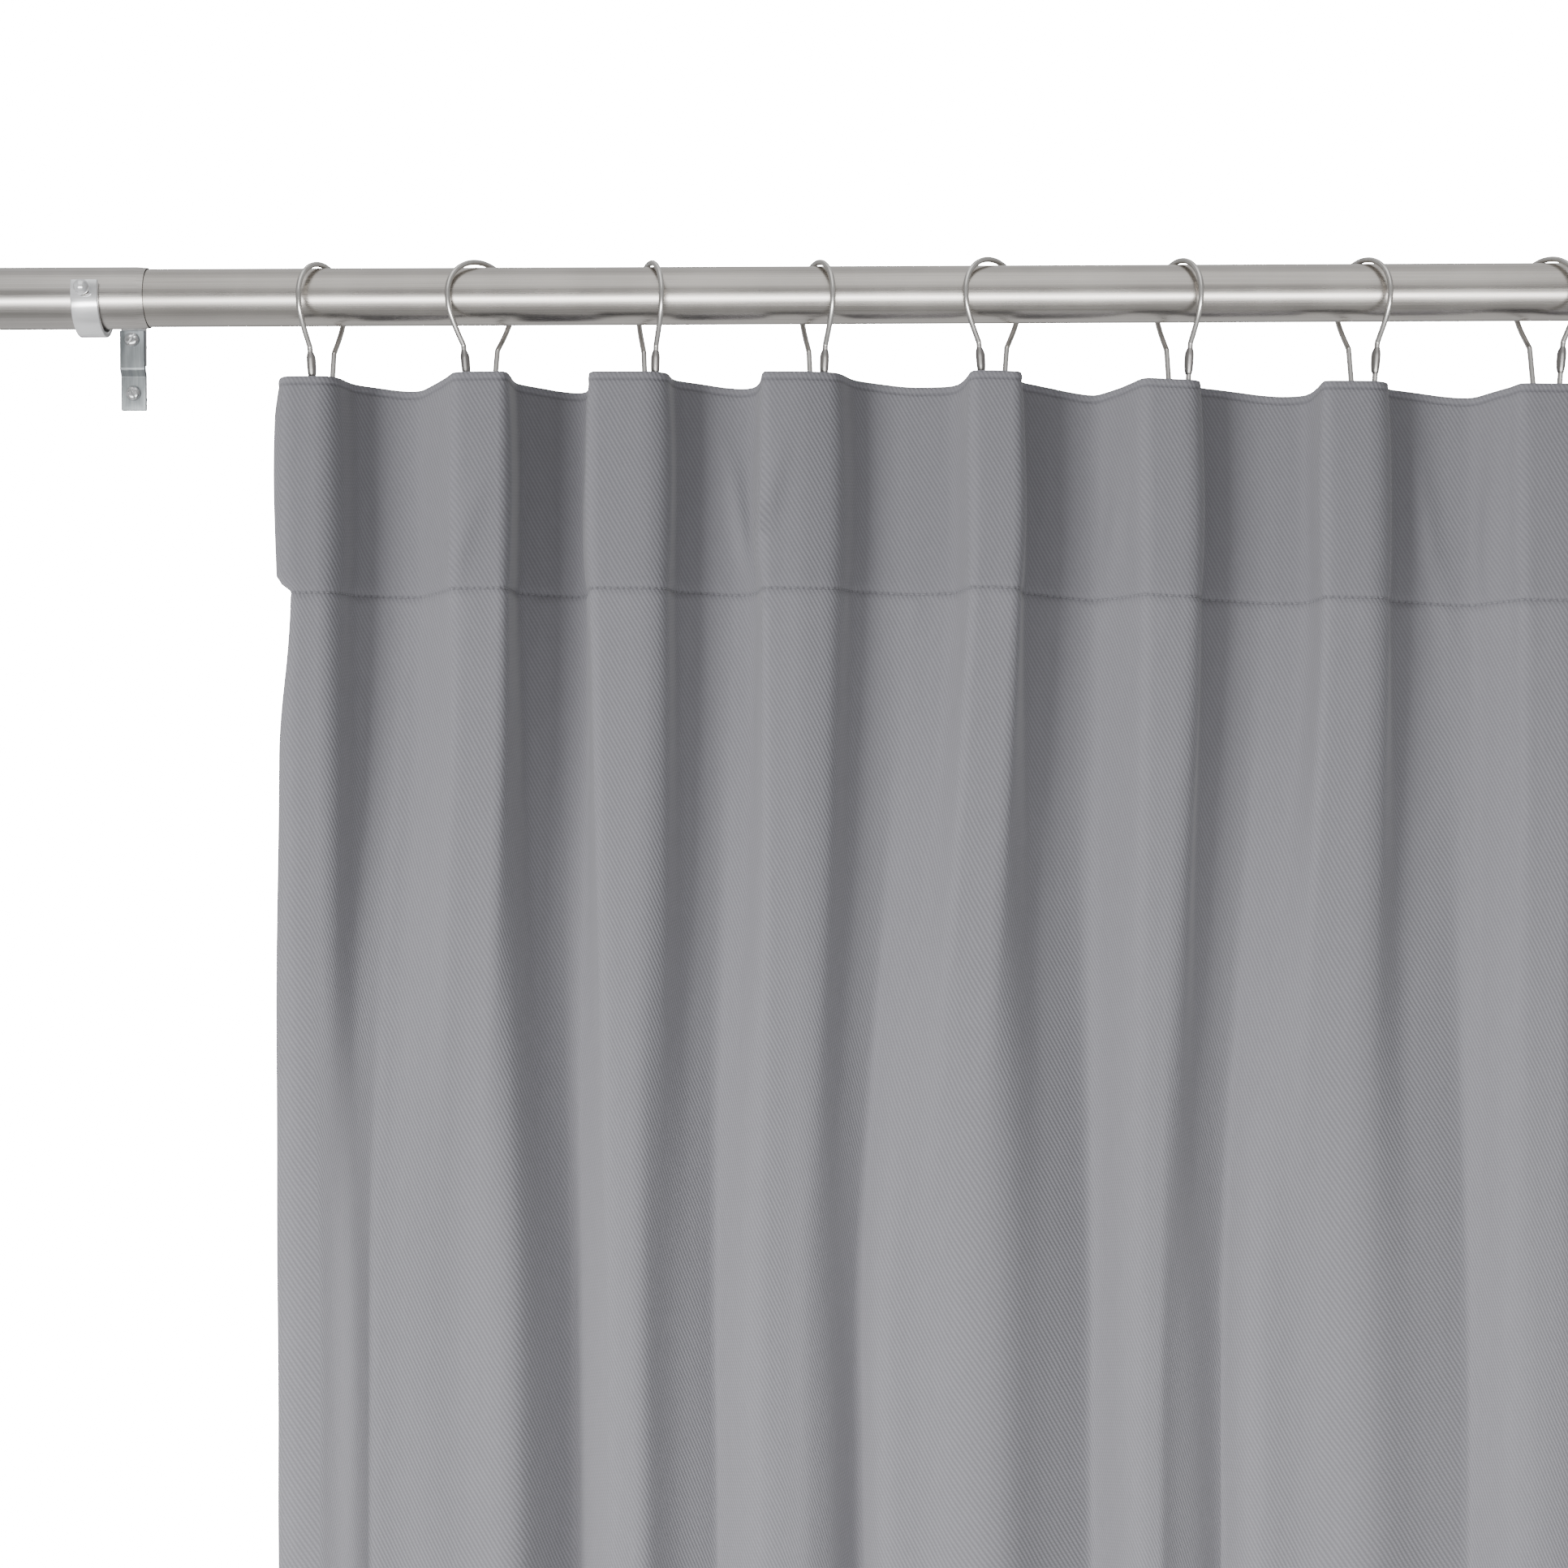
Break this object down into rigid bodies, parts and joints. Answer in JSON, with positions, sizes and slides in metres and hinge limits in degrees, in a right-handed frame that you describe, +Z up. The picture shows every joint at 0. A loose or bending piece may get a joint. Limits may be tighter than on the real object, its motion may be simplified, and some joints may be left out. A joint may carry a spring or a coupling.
{
  "type": "window curtain on rod",
  "caption": "Pleated grey twill curtain hung from sprung wire rings on a telescoping brushed metal rod, held off the wall by strap brackets.",
  "frame": {"origin": "on the wall, at the back of the left bracket's wall plate, between its joggle and its lower screw", "axes": "+X along the rod from the left bracket to the right one, +Y into the wall, +Z up"},
  "size_m": [1.1346, 0.1287, 2.1873],
  "materials": {
    "rod_nickel": "satin nickel, fine brushing along the tube",
    "ring_nickel": "bright nickel plated spring wire",
    "bracket_chrome": "polished chrome",
    "plate_steel": "cool grey zinc plate, slightly worn",
    "curtain_twill": "coarse matt cotton twill",
    "heading_cotton": "plain woven cotton tape"
  },
  "bodies": {
    "rail": {"rod_outer_tube": "rod_nickel", "end_cap_left": "rod_nickel", "left_bracket_arm": "bracket_chrome", "left_wall_plate": "plate_steel", "left_wall_screw_upper": "plate_steel", "left_wall_screw_lower": "plate_steel", "right_bracket_arm": "bracket_chrome", "right_wall_plate": "plate_steel", "right_wall_screw_upper": "plate_steel", "right_wall_screw_lower": "plate_steel"},
    "inner_rod": {"rod_inner_tube": "rod_nickel", "end_cap_right": "rod_nickel"},
    "left_set_screw": {"left_set_screw": "bracket_chrome"},
    "right_set_screw": {"right_set_screw": "bracket_chrome"},
    "curtain": {"curtain_panel": "curtain_twill", "heading_tape": "heading_cotton", "ring_1": "ring_nickel", "heading_loop_1": "heading_cotton"},
    "ring_2": {"ring_2": "ring_nickel", "heading_loop_2": "heading_cotton"},
    "ring_3": {"ring_3": "ring_nickel", "heading_loop_3": "heading_cotton"},
    "ring_4": {"ring_4": "ring_nickel", "heading_loop_4": "heading_cotton"},
    "ring_5": {"ring_5": "ring_nickel", "heading_loop_5": "heading_cotton"},
    "ring_6": {"ring_6": "ring_nickel", "heading_loop_6": "heading_cotton"},
    "ring_7": {"ring_7": "ring_nickel", "heading_loop_7": "heading_cotton"},
    "ring_8": {"ring_8": "ring_nickel", "heading_loop_8": "heading_cotton"},
    "ring_9": {"ring_9": "ring_nickel", "heading_loop_9": "heading_cotton"},
    "gate_1": {"ring_gate_1": "ring_nickel"},
    "gate_2": {"ring_gate_2": "ring_nickel"},
    "gate_3": {"ring_gate_3": "ring_nickel"},
    "gate_4": {"ring_gate_4": "ring_nickel"},
    "gate_5": {"ring_gate_5": "ring_nickel"},
    "gate_6": {"ring_gate_6": "ring_nickel"},
    "gate_7": {"ring_gate_7": "ring_nickel"},
    "gate_8": {"ring_gate_8": "ring_nickel"},
    "gate_9": {"ring_gate_9": "ring_nickel"}
  },
  "joints": [
    {"name": "rod_extend", "type": "slide", "parent": "rail", "child": "inner_rod", "axis": [1, 0, 0], "range_m": [-0.008, 0.07]},
    {"name": "left_set_screw_out", "type": "slide", "parent": "rail", "child": "left_set_screw", "axis": [0, -1, 0], "range_m": [0, 0.004]},
    {"name": "right_set_screw_out", "type": "slide", "parent": "rail", "child": "right_set_screw", "axis": [0, -1, 0], "range_m": [0, 0.004]},
    {"name": "curtain_shift", "type": "slide", "parent": "rail", "child": "curtain", "axis": [1, 0, 0], "range_m": [-0.065, 0.065]},
    {"name": "curtain_draw", "type": "slide", "parent": "curtain", "child": "ring_9", "axis": [1, 0, 0], "range_m": [-0.41677, 0], "deforming": ["curtain_panel", "heading_tape"]},
    {"name": "ring_2_slide", "type": "slide", "parent": "curtain", "child": "ring_2", "axis": [1, 0, 0], "range_m": [-0.04698, 0]},
    {"name": "ring_3_slide", "type": "slide", "parent": "curtain", "child": "ring_3", "axis": [1, 0, 0], "range_m": [-0.09715, 0]},
    {"name": "ring_4_slide", "type": "slide", "parent": "curtain", "child": "ring_4", "axis": [1, 0, 0], "range_m": [-0.14669, 0]},
    {"name": "ring_5_slide", "type": "slide", "parent": "curtain", "child": "ring_5", "axis": [1, 0, 0], "range_m": [-0.19879, 0]},
    {"name": "ring_6_slide", "type": "slide", "parent": "curtain", "child": "ring_6", "axis": [1, 0, 0], "range_m": [-0.25376, 0]},
    {"name": "ring_7_slide", "type": "slide", "parent": "curtain", "child": "ring_7", "axis": [1, 0, 0], "range_m": [-0.30842, 0]},
    {"name": "ring_8_slide", "type": "slide", "parent": "curtain", "child": "ring_8", "axis": [1, 0, 0], "range_m": [-0.36275, 0]},
    {"name": "ring_1_gate", "type": "hinge", "parent": "curtain", "child": "gate_1", "pos_m": [0.10313, -0.08747, -0.0205], "axis": [-0.9336, 0.3584, 0], "range_deg": [0, 10], "stiffness_Nm_per_rad": 0.01, "springref_deg": -5.73},
    {"name": "ring_2_gate", "type": "hinge", "parent": "ring_2", "child": "gate_2", "pos_m": [0.17426, -0.08613, -0.01974], "axis": [-0.766, 0.6428, 0], "range_deg": [0, 10], "stiffness_Nm_per_rad": 0.01, "springref_deg": -5.73},
    {"name": "ring_3_gate", "type": "hinge", "parent": "ring_3", "child": "gate_3", "pos_m": [0.26027, -0.08761, -0.0205], "axis": [-0.9511, -0.309, 0], "range_deg": [0, 10], "stiffness_Nm_per_rad": 0.01, "springref_deg": -5.73},
    {"name": "ring_4_gate", "type": "hinge", "parent": "ring_4", "child": "gate_4", "pos_m": [0.33794, -0.08752, -0.0205], "axis": [-0.9397, -0.342, 0], "range_deg": [0, 10], "stiffness_Nm_per_rad": 0.01, "springref_deg": -5.73},
    {"name": "ring_5_gate", "type": "hinge", "parent": "ring_5", "child": "gate_5", "pos_m": [0.41135, -0.08604, -0.01942], "axis": [-0.7547, 0.6561, 0], "range_deg": [0, 10], "stiffness_Nm_per_rad": 0.01, "springref_deg": -5.73},
    {"name": "ring_6_gate", "type": "hinge", "parent": "ring_6", "child": "gate_6", "pos_m": [0.5055, -0.08742, -0.0205], "axis": [-0.9272, -0.3746, 0], "range_deg": [0, 10], "stiffness_Nm_per_rad": 0.01, "springref_deg": -5.73},
    {"name": "ring_7_gate", "type": "hinge", "parent": "ring_7", "child": "gate_7", "pos_m": [0.59128, -0.08725, -0.0205], "axis": [-0.9063, -0.4226, 0], "range_deg": [0, 10], "stiffness_Nm_per_rad": 0.01, "springref_deg": -5.73},
    {"name": "ring_8_gate", "type": "hinge", "parent": "ring_8", "child": "gate_8", "pos_m": [0.67656, -0.08706, -0.0205], "axis": [-0.8829, -0.4695, 0], "range_deg": [0, 10], "stiffness_Nm_per_rad": 0.01, "springref_deg": -5.73},
    {"name": "ring_9_gate", "type": "hinge", "parent": "ring_9", "child": "gate_9", "pos_m": [0.75446, -0.08752, -0.0205], "axis": [-0.9397, 0.342, 0], "range_deg": [0, 10], "stiffness_Nm_per_rad": 0.01, "springref_deg": -5.73}
  ],
  "couplings": [
    {"joint": "ring_2_slide", "follows": "curtain_draw", "ratio": 0.11271},
    {"joint": "ring_3_slide", "follows": "curtain_draw", "ratio": 0.23311},
    {"joint": "ring_4_slide", "follows": "curtain_draw", "ratio": 0.35197},
    {"joint": "ring_5_slide", "follows": "curtain_draw", "ratio": 0.47697},
    {"joint": "ring_6_slide", "follows": "curtain_draw", "ratio": 0.60888},
    {"joint": "ring_7_slide", "follows": "curtain_draw", "ratio": 0.74002},
    {"joint": "ring_8_slide", "follows": "curtain_draw", "ratio": 0.87039}
  ]
}
